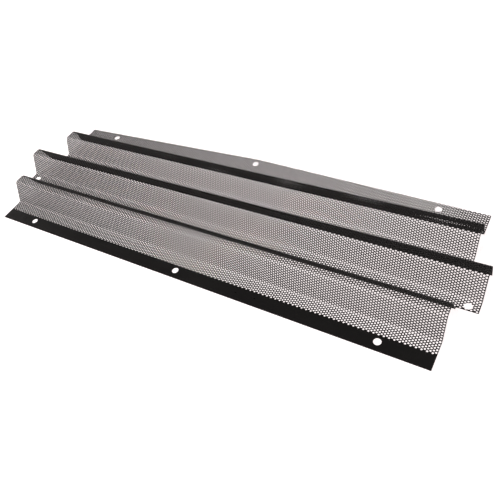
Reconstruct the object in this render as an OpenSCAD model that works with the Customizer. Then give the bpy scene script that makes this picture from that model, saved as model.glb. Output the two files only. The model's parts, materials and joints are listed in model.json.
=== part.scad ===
// Hood grille: one perforated steel sheet, folded into three ridges that run along its length.
// X runs along the ridges, Y from the front flange to the rear flange, and Z is up.
// The origin is on the surface that the grille lies on, under the middle of its outline.

/* [Sheet] */
// Thickness of the sheet
sheet_t = 0.8; // [0.6:0.1:2]
// Length of the flanges and of the first and third ridge
sheet_l = 601; // [400:1:900]
// How far the middle tier stands out past each end of the others
tab_l = 21; // [16:0.5:60]
// How far behind the first ridge's last fold line the tabs start
tab_back = 2.5; // [0:0.5:6]
// Inner radius of every fold
bend_r = 4; // [2:0.5:5]

/* [Ridges] */
// Height of the first and second ridge over the floors
ridge_h = 28.8; // [20:0.2:40]
// Height of the third ridge, which is lower
last_ridge_h = 24.8; // [18:0.2:40]
// Angle by which the front walls lean back from upright
front_lean = 23.5; // [10:0.5:35]
// Depth of the first ridge's top
top_1_d = 14.5; // [12:0.5:30]
// Depth of the second ridge's top
top_2_d = 13.5; // [12:0.5:30]
// Depth of the third ridge's top
top_3_d = 17.5; // [12:0.5:30]
// Angle by which the first back wall leans forward from upright
back_1_lean = 25.5; // [5:0.5:35]
// Angle by which the second back wall leans forward from upright
back_2_lean = 19; // [5:0.5:35]
// Angle by which the third back wall leans forward from upright
back_3_lean = 12.5; // [5:0.5:35]

/* [Floors and flanges] */
// Depth of the front flange, up to its fold line
front_d = 32; // [26:0.5:60]
// Depth of the front flange's solid margin
margin_d = 16.5; // [15:0.5:20]
// Depth of the floor between the first and second ridge
floor_2_d = 15.5; // [12:0.5:40]
// Depth of the floor between the second and third ridge
floor_3_d = 17; // [12:0.5:40]
// Depth of the rear flange at its two ends
rear_d = 29.5; // [24:0.5:60]
// How much deeper it is in the middle
rear_peak = 10; // [0:0.5:20]

/* [Bolt holes] */
// Diameter of the eight bolt holes
bolt_hole = 8; // [4:0.5:9]
// Spacing between neighbouring bolt holes along each flange
bolt_step = 246; // [120:1:280]
// Distance from the front edge to the middle of its holes
front_hole_in = 10; // [7:0.5:12]
// Distance from the rear edge to the middle of its holes
rear_hole_in = 9; // [7:0.5:12]
// Distance from the end of a tab to the middle of its hole
tab_hole_in = 11; // [7:0.5:15]
// Distance from the front edge of a tab to the middle of its hole
tab_hole_back = 5; // [5:0.5:8]

/* [Perforation] */
// Width over flats of the perforation's holes, which stand for the real sheet's finer ones
perf_hole = 9; // [4:0.5:10]
// Spacing of the holes along each row
perf_step = 32; // [24:1:60]
// Metal left between two rows, and between a row and a fold
perf_web = 1.5; // [1:0.5:6]
// Metal left between the perforation and the ends of the sheet
perf_end = 6; // [3:0.5:20]

/* [Hidden] */
// Steps in the arc of each fold
bend_steps = 4;
// Sides of the bolt holes
hole_sides = 24;
// Sides of the perforation's holes
perf_sides = 6;
// How far a cut reaches past the metal
cut_past = 5;
half_t = sheet_t / 2;
mid_r = bend_r + half_t;
front_1_d = (ridge_h - sheet_t) * tan(front_lean);
front_3_d = (last_ridge_h - sheet_t) * tan(front_lean);
back_1_d = (ridge_h - sheet_t) * tan(back_1_lean);
back_2_d = (ridge_h - sheet_t) * tan(back_2_lean);
back_3_d = (last_ridge_h - sheet_t) * tan(back_3_lean);
ridge_1_end = front_d + front_1_d + top_1_d + back_1_d;
tab_y = ridge_1_end + tab_back;
ridge_2_y = ridge_1_end + floor_2_d;
ridge_2_end = ridge_2_y + front_1_d + top_2_d + back_2_d;
ridge_3_y = ridge_2_end + floor_3_d;
ridge_3_end = ridge_3_y + front_3_d + top_3_d + back_3_d;
rear_y = ridge_3_end + rear_d;
depth = rear_y + rear_peak;
full_l = sheet_l + 2 * tab_l;
perf_corner_d = perf_hole / cos(180 / perf_sides);
tall = max(ridge_h, last_ridge_h);

// Fold lines of one ridge, as points of the middle of the sheet's thickness
function ridge(y, h, front, top, back) = [
    [y, half_t],
    [y + front, h - half_t],
    [y + front + top, h - half_t],
    [y + front + top + back, half_t]
];

fold_lines = concat(
    [[0, half_t]],
    ridge(front_d, ridge_h, front_1_d, top_1_d, back_1_d),
    ridge(ridge_2_y, ridge_h, front_1_d, top_2_d, back_2_d),
    ridge(ridge_3_y, last_ridge_h, front_3_d, top_3_d, back_3_d),
    [[depth, half_t]]
);
last = len(fold_lines) - 1;

function heading(i) = atan2(
    fold_lines[i + 1][1] - fold_lines[i][1],
    fold_lines[i + 1][0] - fold_lines[i][0]
);
function along(a) = [cos(a), sin(a)];
function across(a) = [-sin(a), cos(a)];

// Length of flat that the arc of fold line i takes up on each side of it
function fold_reach(i) = i == 0 || i == last ? 0 : mid_r * tan(abs(heading(i) - heading(i - 1)) / 2);

// Points of one face of the sheet round fold line i; side is 1 above and -1 below
function fold_arc(i, side) =
    let (a = heading(i - 1), b = heading(i), turn = sign(b - a))
    let (start = fold_lines[i] - along(a) * fold_reach(i))
    let (centre = start + across(a) * turn * mid_r, r = mid_r - turn * side * half_t)
    [for (k = [0:bend_steps]) centre - across(a + (b - a) * k / bend_steps) * turn * r];

function face_line(side) = concat(
    [fold_lines[0] + [0, side * half_t]],
    [for (i = [1:last - 1]) each fold_arc(i, side)],
    [fold_lines[last] + [0, side * half_t]]
);
function backwards(points) = [for (k = [len(points) - 1:-1:0]) points[k]];

// Folded sheet at the length of its longest tier
module folded_sheet() {
    rotate([90, 0, 90])
        linear_extrude(full_l, center = true)
            polygon(concat(face_line(1), backwards(face_line(-1))));
}

// Metal that is cut away where the first and third tier are shorter than the middle one
module end_notch() {
    translate([sheet_l / 2, -cut_past, -cut_past])
        cube([tab_l + cut_past, tab_y + cut_past, tall + 2 * cut_past]);
    translate([sheet_l / 2, ridge_2_end, -cut_past])
        cube([tab_l + cut_past, depth - ridge_2_end + cut_past, tall + 2 * cut_past]);
}

// Metal that is cut away behind one sloping half of the rear edge
module rear_slope() {
    translate([0, 0, -cut_past])
        linear_extrude(tall + 2 * cut_past)
            polygon([
                [0, depth],
                [sheet_l / 2, rear_y],
                [full_l / 2 + cut_past, rear_y],
                [full_l / 2 + cut_past, depth + cut_past],
                [0, depth + cut_past]
            ]);
}

module bolt_hole_at(x, y) {
    translate([x, y, -cut_past])
        cylinder(h = sheet_t + 2 * cut_past, d = bolt_hole, $fn = hole_sides);
}

rear_drop = rear_peak * bolt_step / (sheet_l / 2);
bolt_places = concat(
    [for (k = [-1:1]) [k * bolt_step, front_hole_in]],
    [for (k = [-1:1]) [k * bolt_step, depth - abs(k) * rear_drop - rear_hole_in]],
    [for (side = [-1, 1]) [side * (full_l / 2 - tab_hole_in), tab_y + tab_hole_back]]
);

// One row of perforation holes along flat i, at a distance from the fold line in front of it
module perf_row(i, reach, shift) {
    row = fold_lines[i] + along(heading(i)) * reach;
    tier_l = row[0] - perf_hole / 2 > tab_y && row[0] < ridge_2_end ? full_l : sheet_l;
    half_l = (tier_l - perf_hole) / 2 - perf_end;
    count = ceil(half_l / perf_step);
    for (k = [-count:count]) {
        x = (k + shift) * perf_step;
        to_bolt = min([for (bolt = bolt_places) norm([x, row[0]] - bolt)]);
        clear_of_bolts = row[1] > sheet_t || to_bolt > (bolt_hole + perf_hole) / 2 + perf_web;
        if (abs(x) <= half_l && clear_of_bolts)
            translate([x, row[0], row[1]])
                rotate([heading(i), 0, 0])
                    cylinder(h = sheet_t + 2 * cut_past, d = perf_corner_d, center = true, $fn = perf_sides);
    }
}

// Rows of perforation over flat i, staggered from row to row
module perf_rows(i) {
    start = i == 0 ? margin_d : fold_reach(i) + perf_web;
    whole = norm(fold_lines[i + 1] - fold_lines[i]) - (i == last - 1 ? rear_peak : 0);
    flat = whole - start - fold_reach(i + 1) - perf_web;
    rows = max(1, floor((flat + perf_web) / (perf_hole + perf_web)));
    for (r = [0:rows - 1])
        perf_row(i, start + flat * (r + 0.5) / rows, (i + r) % 2 / 2);
}

module grille_sheet() {
    color([0.11, 0.11, 0.12])
        translate([0, -depth / 2, 0])
            difference() {
                folded_sheet();
                for (side = [0, 1])
                    mirror([side, 0, 0]) {
                        end_notch();
                        rear_slope();
                    }
                for (place = bolt_places)
                    bolt_hole_at(place[0], place[1]);
                for (i = [0:last - 1])
                    perf_rows(i);
            }
}

grille_sheet();
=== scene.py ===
"""Hood grille of perforated sheet: a flat blank is perforated, cut out and then folded."""

import json
import math

import bpy
import numpy as np
from bpy.props import FloatProperty, FloatVectorProperty, IntProperty, PointerProperty
from bpy.types import Operator, Panel, PropertyGroup
from mathutils import Matrix, Vector
from mathutils.geometry import delaunay_2d_cdt


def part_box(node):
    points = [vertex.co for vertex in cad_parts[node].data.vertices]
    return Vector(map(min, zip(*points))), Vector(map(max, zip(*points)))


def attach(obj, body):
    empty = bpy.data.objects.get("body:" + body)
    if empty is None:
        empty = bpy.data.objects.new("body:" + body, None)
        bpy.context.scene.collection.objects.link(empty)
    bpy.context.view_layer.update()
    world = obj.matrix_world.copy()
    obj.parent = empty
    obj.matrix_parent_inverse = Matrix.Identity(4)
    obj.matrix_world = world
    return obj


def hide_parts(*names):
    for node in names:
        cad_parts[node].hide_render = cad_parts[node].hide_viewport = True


bl_info = {
    "name": "Folded Perforated Grille",
    "version": (1, 0, 0),
    "blender": (4, 5, 0),
    "location": "3D View > Sidebar > Grille",
    "description": "Perforates, cuts out and folds a hood grille, and sets a plain studio round it",
    "category": "Add Mesh",
}

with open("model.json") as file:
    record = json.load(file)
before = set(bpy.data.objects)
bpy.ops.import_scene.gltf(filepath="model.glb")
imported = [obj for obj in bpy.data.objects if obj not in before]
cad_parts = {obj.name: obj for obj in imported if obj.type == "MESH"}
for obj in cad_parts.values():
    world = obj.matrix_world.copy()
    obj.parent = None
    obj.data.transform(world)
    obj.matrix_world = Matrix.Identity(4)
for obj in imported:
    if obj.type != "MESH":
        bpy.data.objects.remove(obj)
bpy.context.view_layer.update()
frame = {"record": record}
SHEET_NODE = "grille_sheet"
LOW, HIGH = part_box(SHEET_NODE)
MOUNTS = {mount["name"]: mount for mount in frame["record"]["mounts"]}
MM = 0.001
# What the settings of several lengths, and of one length, have in common
LENGTHS = {"unit": "LENGTH", "min": 0.0}
LENGTH = {"subtype": "DISTANCE", **LENGTHS}
LINES_PER_RIDGE = 4
BLACK = (0.0, 0.0, 0.0, 1.0)


class BlankSizes(PropertyGroup):
    """Sizes of the sheet and its folds."""

    thickness: FloatProperty(
        name="Thickness", description="Thickness of the sheet", default=0.8 * MM, **LENGTH
    )
    flange_length: FloatProperty(
        name="Flange length",
        description="Length of the flanges and of the first and third ridge",
        default=601 * MM,
        **LENGTH,
    )
    full_length: FloatProperty(
        name="Full length",
        description="Length over the two end tabs",
        default=HIGH.x - LOW.x,
        **LENGTH,
    )
    bend_radius: FloatProperty(
        name="Bend radius", description="Inner radius of every fold", default=4 * MM, **LENGTH
    )
    flats: FloatVectorProperty(
        name="Flats",
        description="Depths of the front flange, the two floors and the ends of the rear flange",
        size=4,
        default=(32 * MM, 15.5 * MM, 17 * MM, 29.5 * MM),
        **LENGTHS,
    )
    tops: FloatVectorProperty(
        name="Tops",
        description="Depths of the three ridge tops",
        size=3,
        default=(14.5 * MM, 13.5 * MM, 17.5 * MM),
        **LENGTHS,
    )
    heights: FloatVectorProperty(
        name="Heights",
        description="Heights of the three ridges",
        size=3,
        default=(HIGH.z, HIGH.z, 24.8 * MM),
        **LENGTHS,
    )
    front_lean: FloatProperty(
        name="Front lean",
        description="Angle by which the front walls lean back from upright",
        default=math.radians(23.5),
        subtype="ANGLE",
    )
    back_leans: FloatVectorProperty(
        name="Back leans",
        description="Angles by which the back walls lean forward from upright",
        size=3,
        default=(math.radians(25.5), math.radians(19), math.radians(12.5)),
        subtype="EULER",
    )
    rear_peak: FloatProperty(
        name="Rear peak",
        description="How much deeper the rear flange is in the middle than at its ends",
        default=10 * MM,
        **LENGTH,
    )
    tab_setback: FloatProperty(
        name="Tab setback",
        description="How far behind the first ridge's last fold line the tabs start",
        default=2.5 * MM,
        **LENGTH,
    )
    bolt_sides: IntProperty(
        name="Bolt hole sides", description="Sides of each bolt hole", default=40, min=12
    )


class PerforationSizes(PropertyGroup):
    """Sizes of the perforation."""

    hole: FloatProperty(
        name="Hole", description="Diameter of one hole", default=2.2 * MM, **LENGTH
    )
    pitch: FloatProperty(
        name="Pitch", description="Spacing of neighbouring holes", default=3 * MM, **LENGTH
    )
    margin: FloatProperty(
        name="Margin",
        description="Depth of the solid strip along the front edge",
        default=16.9 * MM,
        **LENGTH,
    )
    rim: FloatProperty(
        name="Rim",
        description="Least metal between a hole and the end of the sheet or the edge of a tab",
        default=0.3 * MM,
        **LENGTH,
    )
    sides: IntProperty(name="Sides", description="Sides of each hole", default=8, min=6)
    sections: IntProperty(
        name="Sections",
        description="Lengths that the finished sheet is stored in",
        default=5,
        min=1,
    )


class CoatingLook(PropertyGroup):
    """Colour and gloss of the coating."""

    colour: FloatVectorProperty(
        name="Colour",
        description="Colour of the coating",
        size=3,
        subtype="COLOR",
        default=(0.0160, 0.0148, 0.0145),
    )
    # Along the folds this lighter colour stands in part for a painted highlight
    thin_and_highlight_colour: FloatVectorProperty(
        name="Thin colour",
        description="Colour where the coating is thin or rubbed",
        size=3,
        subtype="COLOR",
        default=(0.0270, 0.0245, 0.0232),
    )
    roughness: FloatProperty(
        name="Roughness", description="Roughness of the coating", default=0.3, min=0, max=1
    )
    specular: FloatProperty(
        name="Specular", description="Specular level of the coating", default=0.5, min=0, max=1
    )


class StudioSetup(PropertyGroup):
    """Camera, light and floor."""

    camera_place: FloatVectorProperty(
        name="Camera place",
        description="Where the camera stands",
        size=3,
        subtype="XYZ",
        default=(357.6 * MM, -346.9 * MM, 460.9 * MM),
    )
    azimuth: FloatProperty(
        name="Azimuth",
        description="How far round to the right the camera stands",
        default=math.radians(43.04),
        subtype="ANGLE",
    )
    elevation: FloatProperty(
        name="Elevation",
        description="How far the camera looks down",
        default=math.radians(47.47),
        subtype="ANGLE",
    )
    roll: FloatProperty(
        name="Roll",
        description="How far the camera's right side dips",
        default=math.radians(17.55),
        subtype="ANGLE",
    )
    lens: FloatProperty(
        name="Lens", description="Focal length in millimetres", default=38.80, min=1
    )
    floor_colour: FloatVectorProperty(
        name="Floor colour",
        description="Colour of the floor and the cove",
        size=3,
        subtype="COLOR",
        default=(0.82, 0.82, 0.82),
    )
    glow_colour: FloatVectorProperty(
        name="Glow colour",
        description="Tint of the light table under the grille",
        size=3,
        subtype="COLOR",
        default=(1.0, 0.91, 0.905),
    )
    glow: FloatProperty(
        name="Glow",
        description="How strongly the light table under the grille glows",
        default=0.93,
        min=0,
    )
    glow_radius: FloatProperty(
        name="Glow radius",
        description="How far from the grille the glow has faded out",
        default=4.8,
        **LENGTH,
    )
    air: FloatProperty(
        name="Air", description="Brightness of the room's air", default=0.01, min=0
    )
    softbox_place: FloatVectorProperty(
        name="Softbox place",
        description="Where the softbox hangs; it faces the grille",
        size=3,
        subtype="XYZ",
        default=(-1.1, -1.25, 1.95),
    )
    softbox_size: FloatProperty(
        name="Softbox size", description="Width and height of the softbox", default=2.0, **LENGTH
    )
    softbox_power: FloatProperty(
        name="Softbox power", description="Power of the softbox in watts", default=48.0, min=0
    )


def ridge_lines(y, height, front_lean, top, back_lean, thickness):
    """Fold lines of one ridge as (y, z) points of the middle of the sheet."""
    low, high = thickness / 2, height - thickness / 2
    front = (high - low) * math.tan(front_lean)
    back = (high - low) * math.tan(back_lean)
    return [(y, low), (y + front, high), (y + front + top, high), (y + front + top + back, low)]


class FoldedPath:
    """The way from the front edge to the rear edge along the middle of the folded sheet's thickness."""

    def __init__(self, blank):
        self.lines = self.fold_lines(blank)
        radius = blank.bend_radius + blank.thickness / 2
        steps = np.diff(np.array(self.lines), axis=0)
        headings = np.arctan2(steps[:, 1], steps[:, 0])
        turns = np.diff(headings)
        reach = np.concatenate([[0], radius * np.tan(np.abs(turns) / 2), [0]])
        stretches = []
        for i, heading in enumerate(headings):
            along = np.array([math.cos(heading), math.sin(heading)])
            start = self.lines[i] + along * reach[i]
            length = np.linalg.norm(steps[i]) - reach[i] - reach[i + 1]
            stretches.append((length, *start, heading, 0.0))
            if i < len(turns):
                bend = start + along * length
                stretches.append((abs(turns[i]) * radius, *bend, heading, np.sign(turns[i]) / radius))
        lengths, self.y, self.z, self.heading, self.curvature = np.array(stretches).T
        self.start = np.concatenate([[0], np.cumsum(lengths)[:-1]])
        self.length = lengths.sum()

    @staticmethod
    def fold_lines(blank):
        """Every fold line from front to rear, with the front edge and the rear edge's peak."""
        lines = [(0.0, blank.thickness / 2)]
        for flat, height, top, lean in zip(blank.flats, blank.heights, blank.tops, blank.back_leans):
            y = lines[-1][0] + flat
            lines += ridge_lines(y, height, blank.front_lean, top, lean, blank.thickness)
        lines.append((lines[-1][0] + blank.flats[-1] + blank.rear_peak, blank.thickness / 2))
        return lines

    def ridge_end(self, number):
        """How far behind the front edge a ridge's last fold line lies; ridges count from 1."""
        return self.lines[LINES_PER_RIDGE * number][0]

    def at(self, distance):
        """Y, z and heading at these distances from the front edge, measured along the sheet."""
        i = np.searchsorted(self.start, distance, side="right") - 1
        i = i.clip(0, len(self.start) - 1)
        past, curvature, first = distance - self.start[i], self.curvature[i], self.heading[i]
        heading = first + curvature * past
        bent = curvature != 0
        safe = np.where(bent, curvature, 1.0)
        y = np.where(bent, (np.sin(heading) - np.sin(first)) / safe, past * np.cos(first))
        z = np.where(bent, (np.cos(first) - np.cos(heading)) / safe, past * np.sin(first))
        return self.y[i] + y, self.z[i] + z, heading

    def distance_of(self, y):
        """How far along the sheet a point lies that is this far behind the front edge."""
        fine_step = 0.02 * MM
        tries = np.arange(0, self.length, fine_step)
        return float(np.interp(y, self.at(tries)[0], tries))

    def bending(self, distance):
        """1 within a fold and 0 on a flat, blended over a short way."""
        blend = 1.5 * MM
        bends = [i for i, bend in enumerate(self.curvature) if bend]
        middles = np.array([(self.start[i] + self.start[i + 1]) / 2 for i in bends])
        halves = np.array([(self.start[i + 1] - self.start[i]) / 2 for i in bends])
        nearest = np.abs(distance[:, None] - middles).argmin(1)
        outside = np.abs(distance - middles[nearest]) - halves[nearest]
        return (1 - outside / blend).clip(0, 1)


def ring(centre, radius, sides):
    """Corners of a polygon with the area of the circle of this radius, one side facing each axis."""
    turn = 2 * math.pi / sides
    reach = radius * math.sqrt(turn / math.sin(turn))
    angles = turn * (np.arange(sides) + 0.5)
    return np.asarray(centre) + reach * np.stack([np.cos(angles), np.sin(angles)], 1)


def inside_ring(offset, radius, sides):
    """Whether these offsets from the centre of a ring lie within it."""
    turn = 2 * math.pi / sides
    reach = radius * math.sqrt(turn / math.sin(turn))
    angle = np.arctan2(offset[:, 1], offset[:, 0]) + turn / 2
    within = angle % turn - turn / 2
    return np.linalg.norm(offset, axis=1) * np.cos(within) < reach * math.cos(turn / 2)


class Blank:
    """The flat sheet before folding: x along its length, s from the front edge across it."""

    def __init__(self, sizes, perforation, path):
        self.sizes, self.perforation, self.path = sizes, perforation, path
        self.column_step = perforation.pitch * math.sqrt(3) / 2
        self.first_row = perforation.margin + perforation.hole / 2
        self.half_flange, self.half_full = sizes.flange_length / 2, sizes.full_length / 2
        self.tab_from = path.distance_of(path.ridge_end(1) + sizes.tab_setback)
        self.tab_to = path.distance_of(path.ridge_end(2))
        self.rear_end = path.length - sizes.rear_peak
        self.bolts = [self.bolt_place(*place) for place in self.bolt_centres()]
        self.bolt_radius = MOUNTS["tab_bolts"]["dims"]["hole_r_mm"] * MM

    @staticmethod
    def bolt_centres():
        """Centres of the bolt holes in the frame, as the record's bolt patterns give them."""
        places = set()
        for mount in MOUNTS.values():
            if mount["kind"] != "bolt_pattern":
                continue
            half_x = mount["dims"].get("spacing_x_mm", 0) / 2 * MM
            half_y = mount["dims"].get("spacing_y_mm", 0) / 2 * MM
            x, y = mount["pos_m"][:2]
            places |= {(x + i * half_x, y + j * half_y) for i in (-1, 1) for j in (-1, 1)}
        return sorted(places)

    def bolt_place(self, x, y):
        """Where a point of the frame that lies on a flat is on the blank."""
        return np.array([x, self.path.distance_of(y - LOW.y)])

    def outline(self):
        """Corners of the blank, from the front left one round."""
        flange, full = self.half_flange, self.half_full
        right = [
            (flange, 0),
            (flange, self.tab_from),
            (full, self.tab_from),
            (full, self.tab_to),
            (flange, self.tab_to),
            (flange, self.rear_end),
        ]
        return np.array(right + [(0, self.path.length)] + [(-x, s) for x, s in reversed(right)])

    def holes(self, left, right):
        """Centres of the perforation's holes between two places along the sheet."""
        columns = np.arange(math.ceil(left / self.column_step), math.ceil(right / self.column_step))
        rows = np.arange(math.ceil((self.path.length - self.first_row) / self.perforation.pitch) + 1)
        column, row = (grid.ravel() for grid in np.meshgrid(columns, rows, indexing="ij"))
        centres = np.stack([column * self.column_step, self.row_place(column, row)], 1)
        return centres[self.is_punched(centres)]

    def is_punched(self, centres):
        """Whether these holes are there: they stop short of the sheet's ends and the tabs' edges."""
        reach = self.perforation.hole / 2 + self.perforation.rim
        x, s = np.abs(centres[:, 0]), centres[:, 1]
        in_tab = (x < self.half_full - reach) & (s > self.tab_from + reach) & (s < self.tab_to - reach)
        return in_tab | (x < self.half_flange - reach)

    def row_place(self, column, row):
        """How far from the front edge a hole lies; every second column is set back by half a pitch."""
        return self.first_row + (row + column % 2 / 2) * self.perforation.pitch

    def nearest_hole(self, points):
        """The hole of each point's own column that lies nearest."""
        column = np.round(points[:, 0] / self.column_step)
        row = np.round((points[:, 1] - self.row_place(column, 0)) / self.perforation.pitch)
        return np.stack([column * self.column_step, self.row_place(column, row.clip(0))], 1)

    def in_hole(self, points):
        """Whether these points lie in a hole of the perforation."""
        centres = self.nearest_hole(points)
        inside = inside_ring(points - centres, self.perforation.hole / 2, self.perforation.sides)
        return inside & self.is_punched(centres)

    def is_metal(self, points):
        """Whether these points lie on the cut and perforated blank."""
        x, s = np.abs(points[:, 0]), points[:, 1]
        rear = self.rear_end + self.sizes.rear_peak * (1 - x / self.half_flange)
        body = (x < self.half_flange) & (s > 0) & (s < rear)
        tab = (x < self.half_full) & (s > self.tab_from) & (s < self.tab_to)
        solid = (body | tab) & ~self.in_hole(points)
        for bolt in self.bolts:
            solid &= ~inside_ring(points - bolt, self.bolt_radius, self.sizes.bolt_sides)
        return solid

    def section(self, left, right):
        """Flat triangles of the metal between two places along the sheet, as (points, corner numbers)."""
        radius, sides = self.perforation.hole / 2, self.perforation.sides
        loops = [ring(centre, radius, sides) for centre in self.holes(left, right)]
        for bolt in self.bolts:
            if left < bolt[0] < right:
                loops.append(ring(bolt, self.bolt_radius, self.sizes.bolt_sides))
        step = self.perforation.pitch / 2
        seams = [self.seam(x, step) for x in (left, right) if abs(x) < self.half_flange]
        lines = [between(a, b, left, right, step) for a, b in pairs(self.outline())]
        points, edges = joined(loops, seams + [line for line in lines if line is not None])
        per_metre, closeness = 1 / MM, 1e-5
        in_mm = [Vector(point) for point in points * per_metre]
        found = delaunay_2d_cdt(in_mm, edges, [], 0, closeness, False)
        flat = np.array([tuple(corner) for corner in found[0]]) / per_metre
        triangles = np.array([face for face in found[2] if len(face) == 3])
        middle = flat[triangles].mean(1)
        kept = self.is_metal(middle) & (middle[:, 0] > left) & (middle[:, 0] < right)
        return without_loose_bits(flat, triangles[kept])

    def seam(self, x, step):
        """Points down a seam, at most a step apart."""
        rear = self.rear_end + self.sizes.rear_peak * (1 - abs(x) / self.half_flange)
        return stepped((x, 0), (x, rear), step)


def pairs(corners):
    """Each corner with the next one round."""
    return zip(corners, np.roll(corners, -1, axis=0))


def stepped(a, b, step):
    """Points from a to b, at most a step apart."""
    return np.linspace(a, b, math.ceil(math.dist(a, b) / step) + 1)


def between(a, b, left, right, step):
    """The line from a to b as far as it lies between two places along x, or None."""
    if max(a[0], b[0]) < left or min(a[0], b[0]) > right:
        return None
    crosses_folds = a[0] == b[0]
    if crosses_folds:
        return stepped(a, b, step)
    ends = [(np.clip(p[0], left, right) - a[0]) / (b[0] - a[0]) for p in (a, b)]
    return np.array([a + (b - a) * share for share in ends])


def joined(loops, lines):
    """All points of closed loops and open lines, with the edges between them."""
    points, edges, count = [], [], 0
    for closed, group in ((True, loops), (False, lines)):
        for one in group:
            size = len(one)
            last = size if closed else size - 1
            edges += [(count + i, count + (i + 1) % size) for i in range(last)]
            points.append(one)
            count += size
    return np.concatenate(points), edges


def side_keys(triangles, count):
    """The directed sides of triangles, with one number for each and the number of its reverse."""
    a = triangles.ravel().astype(np.int64)
    b = np.roll(triangles, -1, axis=1).ravel().astype(np.int64)
    return a, b, a * count + b, b * count + a


def without_loose_bits(points, triangles):
    """The largest connected group of triangles, on only the points that it uses."""
    a, b, key, back = side_keys(triangles, len(points))
    owner = np.repeat(np.arange(len(triangles)), 3)
    order = np.argsort(key)
    at = np.searchsorted(key[order], back).clip(0, len(key) - 1)
    shared = key[order][at] == back
    one, other = owner[shared], owner[order][at][shared]
    group = np.arange(len(triangles))
    while True:
        lowest = np.minimum(group[one], group[other])
        merged = group.copy()
        np.minimum.at(merged, group[one], lowest)
        np.minimum.at(merged, group[other], lowest)
        merged = merged[merged]
        if (merged == group).all():
            break
        group = merged
    main = np.bincount(group).argmax()
    used, corners = np.unique(triangles[group == main], return_inverse=True)
    return points[used], corners.reshape(-1, 3)


def open_sides(triangles, count):
    """The directed sides that only one triangle has."""
    a, b, key, back = side_keys(triangles, count)
    alone = ~np.isin(key, back)
    return a[alone], b[alone]


def folded_mesh(name, flat, triangles, blank):
    """The mesh of one section: both faces of the folded sheet, and the walls of its holes and edges."""
    count = len(flat)
    y, z, heading = blank.path.at(flat[:, 1])
    up = np.stack([np.zeros(count), -np.sin(heading), np.cos(heading)], 1)
    middle = np.stack([flat[:, 0], y + LOW.y, z], 1)
    half = blank.sizes.thickness / 2
    points = np.concatenate([middle + up * half, middle - up * half])
    a, b = open_sides(triangles, count)
    walls = np.stack([a, a + count, b + count, b], 1)
    faces = np.concatenate([triangles, triangles[:, ::-1] + count])
    corners = np.concatenate([faces.ravel(), walls.ravel()])
    starts = np.concatenate([np.arange(len(faces)) * 3, faces.size + np.arange(len(walls)) * 4])

    mesh = bpy.data.meshes.new(name)
    mesh.vertices.add(len(points))
    mesh.vertices.foreach_set("co", points.astype(np.float32).ravel())
    mesh.loops.add(len(corners))
    mesh.loops.foreach_set("vertex_index", corners.astype(np.int32))
    mesh.polygons.add(len(starts))
    mesh.polygons.foreach_set("loop_start", starts.astype(np.int32))
    mesh.update(calc_edges=True)

    wall_normals = normals_of_walls(flat, a, b, heading, blank)
    face_normals = np.concatenate([up[triangles.ravel()], -up[triangles[:, ::-1].ravel()]])
    set_shading(mesh, count, a, b, np.concatenate([face_normals, wall_normals]))
    # Marks the folds, where the coating is rubbed and carries a painted highlight
    set_values(mesh, "fold_wear", np.tile(blank.path.bending(flat[:, 1]), 2))
    # Marks the underside, which the coating gives painted shade and more roughness
    set_values(mesh, "underside", np.repeat([0.0, 1.0], count))
    return mesh


def set_values(mesh, name, values):
    """Stores one number for each point of the mesh."""
    mesh.attributes.new(name, "FLOAT", "POINT").data.foreach_set("value", values.astype(np.float32))


def normals_of_walls(flat, a, b, heading, blank):
    """Normals at the four corners of each wall: round in the perforation, square elsewhere."""
    middle = (flat[a] + flat[b]) / 2
    centre = blank.nearest_hole(middle)
    hole_reach = 1.02 * blank.perforation.hole / 2
    round_wall = np.linalg.norm(centre - middle, axis=1) < hole_reach
    round_wall &= blank.is_punched(centre)
    across = (flat[b] - flat[a])[:, ::-1] * [1, -1]
    normals = []
    for corner in (a, a, b, b):
        planar = np.where(round_wall[:, None], centre - flat[corner], across)
        planar /= np.linalg.norm(planar, axis=1, keepdims=True)
        x, s = planar.T
        turn = heading[corner]
        normals.append(np.stack([x, s * np.cos(turn), s * np.sin(turn)], 1))
    return np.stack(normals, 1).reshape(-1, 3)


def set_shading(mesh, count, a, b, normals):
    """Smooth faces that meet the walls in sharp edges, with exact normals through the folds."""
    ends = np.empty(len(mesh.edges) * 2, np.int32)
    mesh.edges.foreach_get("vertices", ends)
    ends = np.sort(ends.reshape(-1, 2).astype(np.int64), axis=1)
    rim = np.sort(np.stack([a, b], 1), axis=1)
    rim = np.concatenate([rim, rim + count])
    total = 2 * count
    sharp = np.isin(ends[:, 0] * total + ends[:, 1], rim[:, 0] * total + rim[:, 1])
    mesh.attributes.new("sharp_edge", "BOOLEAN", "EDGE").data.foreach_set("value", sharp)
    mesh.normals_split_custom_set(normals.tolist())


class Wire:
    """A shader socket that takes part in sums; each operator adds a Math node."""

    def __init__(self, bench, socket):
        self.bench, self.socket = bench, socket

    def maths(self, operation, first, second):
        """The output of a Math node on two values."""
        return self.bench.node("ShaderNodeMath", {"operation": operation}, {0: first, 1: second})

    def __add__(self, other):
        return self.maths("ADD", self, other)

    def __radd__(self, other):
        return self.maths("ADD", other, self)

    def __sub__(self, other):
        return self.maths("SUBTRACT", self, other)

    def __rsub__(self, other):
        return self.maths("SUBTRACT", other, self)

    def __mul__(self, other):
        return self.maths("MULTIPLY", self, other)

    def __rmul__(self, other):
        return self.maths("MULTIPLY", other, self)


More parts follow.
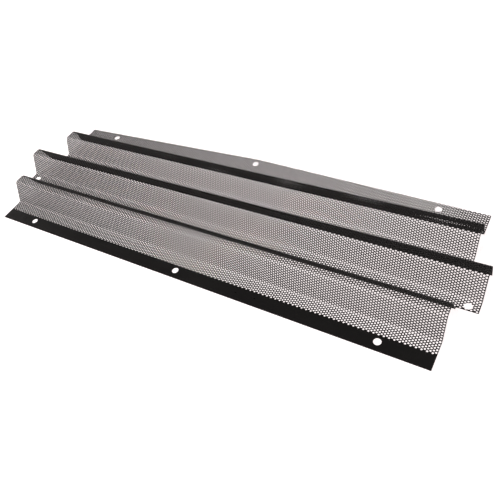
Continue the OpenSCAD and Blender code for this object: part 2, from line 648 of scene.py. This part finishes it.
class Bench:
    """The node tree of one material."""

    # A Mix node's sockets for its two colours, and its output for the mixed colour
    FIRST_COLOUR = 6
    SECOND_COLOUR = 7
    MIXED_COLOUR = 2

    def __init__(self, name):
        self.material = bpy.data.materials.new(name)
        self.material.use_nodes = True
        self.tree = self.material.node_tree
        self.tree.nodes.clear()

    def node(self, kind, settings=None, sockets=None, output=0):
        """Adds a node, sets its settings and then its sockets, and returns one of its outputs."""
        made = self.tree.nodes.new(kind)
        for name, value in (settings or {}).items():
            if name == "stops":
                self.set_stops(made.color_ramp, value)
            else:
                setattr(made, name, value)
        for name, value in (sockets or {}).items():
            if isinstance(value, Wire):
                self.tree.links.new(value.socket, made.inputs[name])
            else:
                made.inputs[name].default_value = value
        return Wire(self, made.outputs[output]) if made.outputs else None

    @staticmethod
    def set_stops(ramp, stops):
        """Gives a colour ramp these (position, grey) stops."""
        while len(ramp.elements) < len(stops):
            ramp.elements.new(1.0)
        for element, (position, grey) in zip(ramp.elements, stops):
            element.position = position
            element.color = (grey, grey, grey, 1.0)

    def noise(self, place, scale, detail=2.0, roughness=0.5):
        """Value of a noise texture at a place."""
        sockets = {"Vector": place, "Scale": scale, "Detail": detail, "Roughness": roughness}
        return self.node("ShaderNodeTexNoise", {}, sockets)

    def mixed(self, share, first, second):
        """Colour between two colours."""
        sockets = {"Factor": share, self.FIRST_COLOUR: first, self.SECOND_COLOUR: second}
        return self.node("ShaderNodeMix", {"data_type": "RGBA"}, sockets, self.MIXED_COLOUR)

    def attribute(self, name):
        """A number that is stored on the points of the mesh."""
        return self.node("ShaderNodeAttribute", {"attribute_name": name}, output="Fac")

    def scaled_place(self, scale):
        """A point of the object, scaled along its three axes."""
        place = self.node("ShaderNodeTexCoord", output="Object")
        return self.node("ShaderNodeMapping", {}, {"Vector": place, "Scale": scale})

    def ramp(self, value, stops):
        """A value sent through a colour ramp of (position, grey) stops."""
        return self.node("ShaderNodeValToRGB", {"stops": stops}, {"Fac": value})

    def finish(self, shader):
        """Sends a shader to the material's surface."""
        self.node("ShaderNodeOutputMaterial", {}, {"Surface": shader})
        return self.material


def coating_material(look):
    """Satin black coating: mottled, with a fine peel, rubbed and lighter along the folds, in part as a
    painted highlight, and with painted shade and more roughness below.
    """
    bench = Bench("satin_black_coating")
    place = bench.scaled_place((1.0, 1.0, 1.0))
    stretched = bench.scaled_place((0.35, 1.0, 1.0))
    cloud = bench.noise(stretched, scale=38.0, detail=4.0, roughness=0.6)
    streaks = bench.noise(stretched, scale=160.0, detail=3.0, roughness=0.6)
    peel = bench.noise(place, scale=1500.0, roughness=0.55)
    specks = bench.ramp(bench.noise(place, scale=420.0), [(0.66, 0.0), (0.74, 1.0)])
    # Lighter along the folds: partly coating rubbed at the bends, partly a painted highlight of the bent
    # metal; the folds are also glossier
    rub_and_highlight = bench.attribute("fold_wear") * streaks
    underside = bench.attribute("underside")
    # Painted shade: the underside's colour goes most of the way to black, and Metallic takes its
    # reflection down too, standing for the shade inside the ridges
    underside_painted_shade = 0.8 * underside

    # Lighter where the coating is thin, at random specks, and along the folds, where it is in part a
    # painted highlight
    thin = 0.55 * cloud + 0.3 * rub_and_highlight + 0.12 * specks
    colour = bench.mixed(thin, (*look.colour, 1.0), (*look.thin_and_highlight_colour, 1.0))
    height = peel + 0.4 * cloud
    bump = {"Strength": 0.22, "Distance": 0.04 * MM, "Height": height}
    sockets = {
        "Base Color": bench.mixed(underside_painted_shade, colour, BLACK),
        "Roughness": look.roughness + 0.16 * (cloud - 0.5) - 0.08 * rub_and_highlight + 0.5 * underside,
        "Metallic": underside_painted_shade,
        "Normal": bench.node("ShaderNodeBump", {}, bump),
        "Specular IOR Level": look.specular,
    }
    return bench.finish(bench.node("ShaderNodeBsdfPrincipled", {}, sockets))


def floor_material(studio):
    """Pale matt floor with a light table's even glow, which fades out away from the grille."""
    bench = Bench("pale_floor")
    place = bench.scaled_place([1 / studio.glow_radius] * 3)
    sphere = {"gradient_type": "SPHERICAL"}
    near = bench.node("ShaderNodeTexGradient", sphere, {"Vector": place}, output="Fac")
    share = bench.ramp(near, [(0.0, 0.0), (0.75, 1.0)])
    sockets = {
        "Base Color": (*studio.floor_colour, 1.0),
        "Roughness": 0.9,
        "Specular IOR Level": 0.1,
        "Emission Color": bench.mixed(share, BLACK, (*studio.glow_colour, 1.0)),
        "Emission Strength": studio.glow,
    }
    return bench.finish(bench.node("ShaderNodeBsdfPrincipled", {}, sockets))


def placed(name, data):
    """A new object of this data at the origin."""
    piece = bpy.data.objects.new(name, data)
    bpy.context.scene.collection.objects.link(piece)
    return piece


class GRILLE_OT_sheet(Operator):
    """Perforates the blank, cuts it out and folds it, one section of its length at a time"""

    bl_idname = "grille.sheet"
    bl_label = "Folded sheet"

    def execute(self, context):
        sizes, perforation = context.scene.grille_blank, context.scene.grille_perforation
        path = FoldedPath(sizes)
        depth, tolerance = path.lines[-1][0], 0.1 * MM
        if abs(depth - (HIGH.y - LOW.y)) > tolerance:
            raise ValueError(f"the folds add up to a depth of {depth:.5f} m, which isn't the frame's")
        blank = Blank(sizes, perforation, path)
        coating = coating_material(context.scene.grille_coating)
        for number, (left, right) in enumerate(self.stations(blank), 1):
            flat, triangles = blank.section(left, right)
            name = f"perforated_sheet_{number}"
            mesh = folded_mesh(name, flat, triangles, blank)
            mesh.materials.append(coating)
            piece = placed(name, mesh)
            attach(piece, "root")
            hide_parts(SHEET_NODE)
        return {"FINISHED"}

    @staticmethod
    def stations(blank):
        """Where each section starts and ends: each seam runs midway between two columns of holes."""
        count = blank.perforation.sections
        ends = np.linspace(-blank.half_full, blank.half_full, count + 1)[1:-1]
        seams = (np.floor(ends / blank.column_step) + 0.5) * blank.column_step
        past = blank.half_full + blank.column_step
        return list(zip([-past, *seams], [*seams, past]))


def cove_mesh(radius, height, fillet):
    """A round floor that curves up into a wall all round."""
    steps, sides = 12, 96
    bends = [math.pi / 2 * k / steps for k in range(steps + 1)]
    profile = [(radius - fillet + fillet * math.sin(a), fillet - fillet * math.cos(a)) for a in bends]
    profile.append((radius, height))
    turns = [2 * math.pi * k / sides for k in range(sides)]
    points = [(r * math.cos(t), r * math.sin(t), z) for r, z in profile for t in turns]
    faces = [list(range(sides))]
    for row in range(len(profile) - 1):
        for k in range(sides):
            low, after = row * sides + k, row * sides + (k + 1) % sides
            faces.append((low, low + sides, after + sides, after))
    mesh = bpy.data.meshes.new("cove")
    mesh.from_pydata(points, [], faces)
    mesh.shade_smooth()
    return mesh


def add_softbox(studio):
    """A square area light that faces the grille."""
    light = bpy.data.lights.new("softbox", "AREA")
    light.size, light.energy = studio.softbox_size, studio.softbox_power
    box = placed("softbox", light)
    box.location = studio.softbox_place
    box.rotation_mode = "QUATERNION"
    box.rotation_quaternion = (-box.location).to_track_quat("-Z", "Y")


def room_air(brightness):
    """A world of one even grey."""
    world = bpy.data.worlds.new("studio_air")
    world.use_nodes = True
    background = world.node_tree.nodes["Background"]
    background.inputs["Color"].default_value = (brightness, brightness, brightness, 1.0)
    return world


def add_camera(studio):
    """The camera, turned to its azimuth and elevation and then rolled about its line of sight."""
    film_width = 36.0
    data = bpy.data.cameras.new("camera")
    data.lens, data.sensor_width = studio.lens, film_width
    camera = placed("camera", data)
    round_up = Matrix.Rotation(studio.azimuth, 4, "Z")
    tilt = Matrix.Rotation(math.pi / 2 - studio.elevation, 4, "X")
    roll = Matrix.Rotation(-studio.roll, 4, "Z")
    turned = round_up @ tilt @ roll
    camera.matrix_world = Matrix.Translation(studio.camera_place) @ turned
    bpy.context.scene.camera = camera


class GRILLE_OT_stage(Operator):
    """Sets the floor with its cove, the soft light and the camera"""

    bl_idname = "grille.stage"
    bl_label = "Studio"

    def execute(self, context):
        studio = context.scene.grille_studio
        cove = placed("cove", cove_mesh(radius=4.0, height=2.2, fillet=1.2))
        cove.data.materials.append(floor_material(studio))
        add_softbox(studio)
        context.scene.world = room_air(studio.air)
        context.scene.view_settings.view_transform = "Standard"
        add_camera(studio)
        return {"FINISHED"}


class GRILLE_PT_panel(Panel):
    """Lists the sizes and the steps"""

    bl_idname = "GRILLE_PT_panel"
    bl_label = "Folded grille"
    bl_space_type = "VIEW_3D"
    bl_region_type = "UI"
    bl_category = "Grille"

    def draw(self, context):
        for group in GROUPS:
            settings = getattr(context.scene, group)
            box = self.layout.box()
            for name in settings.__annotations__:
                box.prop(settings, name)
        self.layout.operator(GRILLE_OT_sheet.bl_idname)
        self.layout.operator(GRILLE_OT_stage.bl_idname)


GROUPS = {
    "grille_blank": BlankSizes,
    "grille_perforation": PerforationSizes,
    "grille_coating": CoatingLook,
    "grille_studio": StudioSetup,
}
CLASSES = (*GROUPS.values(), GRILLE_OT_sheet, GRILLE_OT_stage, GRILLE_PT_panel)


def register():
    for one in CLASSES:
        bpy.utils.register_class(one)
    for name, group in GROUPS.items():
        setattr(bpy.types.Scene, name, PointerProperty(type=group))


def unregister():
    for name in GROUPS:
        delattr(bpy.types.Scene, name)
    for one in reversed(CLASSES):
        bpy.utils.unregister_class(one)


def main():
    register()
    bpy.ops.grille.sheet()
    bpy.ops.grille.stage()
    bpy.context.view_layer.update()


if __name__ == "__main__":
    main()
